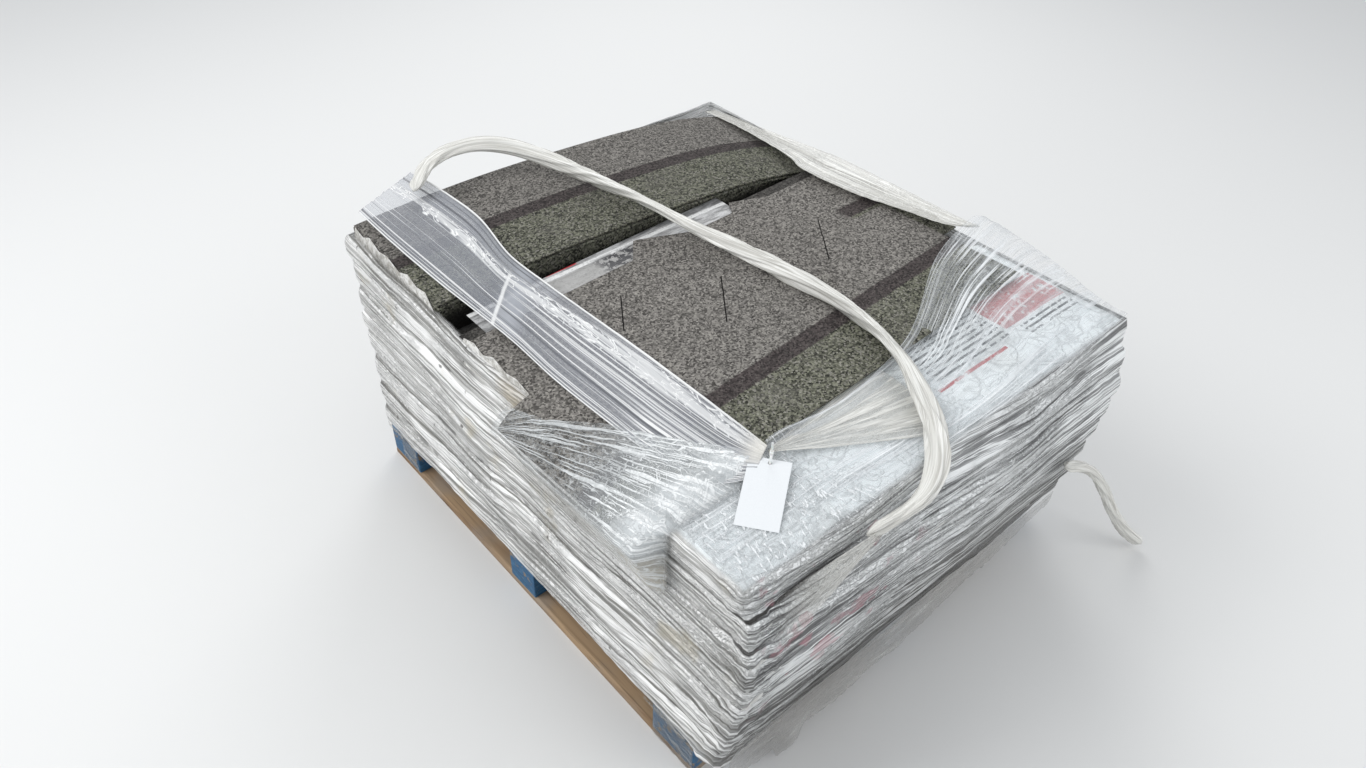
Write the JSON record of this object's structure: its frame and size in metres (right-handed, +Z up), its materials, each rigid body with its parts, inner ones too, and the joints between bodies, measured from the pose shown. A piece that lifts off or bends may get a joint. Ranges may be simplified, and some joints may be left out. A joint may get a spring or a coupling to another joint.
{
  "type": "pallet of asphalt shingle bundles",
  "caption": "Stretch-wrapped block pallet stacked with wrapped asphalt shingle bundles, loose shingles on top, film ropes and a hanging lot tag.",
  "frame": {"origin": "middle of the pallet's underside, on its middle base board", "axes": "+X along the bundles, +Y across them, +Z up"},
  "size_m": [1.2014, 1.3375, 0.7246],
  "materials": {
    "pallet_wood": "weathered sawn softwood",
    "painted_block": "worn blue paint on wood",
    "bundle_wrapper": "matt white wrapper, creased",
    "shingle_granules": "mineral granules on asphalt",
    "torn_wrapper": "torn white and silver wrapper",
    "stretch_film": "clear stretch film",
    "tag_card": "matt card",
    "nylon_tie": "white nylon"
  },
  "bodies": {
    "root": {"base_board_far": "pallet_wood", "base_board_left": "pallet_wood", "base_board_middle": "pallet_wood", "base_board_near": "pallet_wood", "base_board_right": "pallet_wood", "block_far_centre": "painted_block", "block_far_left": "painted_block", "block_far_right": "painted_block", "block_middle_centre": "painted_block", "block_middle_left": "painted_block", "block_middle_right": "painted_block", "block_near_centre": "painted_block", "block_near_left": "painted_block", "block_near_right": "painted_block", "course_1": "bundle_wrapper", "course_2": "bundle_wrapper", "course_3": "bundle_wrapper", "course_4": "bundle_wrapper", "course_5": "bundle_wrapper", "course_6": "bundle_wrapper", "course_7": "bundle_wrapper", "course_8": "bundle_wrapper", "deck_board_1": "pallet_wood", "deck_board_2": "pallet_wood", "deck_board_3": "pallet_wood", "deck_board_4": "pallet_wood", "deck_board_5": "pallet_wood", "deck_board_6": "pallet_wood", "deck_board_7": "pallet_wood", "film_band": "stretch_film", "film_corner_sheet": "stretch_film", "film_edge_band": "stretch_film", "film_flap_far": "stretch_film", "film_flap_near": "stretch_film", "film_hood": "stretch_film", "film_rope_long": "stretch_film", "film_skirt": "stretch_film", "film_sleeve": "stretch_film", "film_tail": "stretch_film", "loose_shingle_far_1": "shingle_granules", "loose_shingle_far_2": "shingle_granules", "loose_shingle_far_3": "shingle_granules", "loose_shingle_middle_1": "shingle_granules", "loose_shingle_middle_2": "shingle_granules", "loose_shingle_middle_3": "shingle_granules", "lot_tag": "tag_card", "opened_bundle_far": "shingle_granules", "opened_bundle_middle": "shingle_granules", "stringer_board_far": "pallet_wood", "stringer_board_middle": "pallet_wood", "stringer_board_near": "pallet_wood", "tag_tie": "nylon_tie", "torn_wrapper_far": "torn_wrapper", "torn_wrapper_middle": "torn_wrapper", "wrapper_strip": "torn_wrapper"}
  },
  "joints": []
}
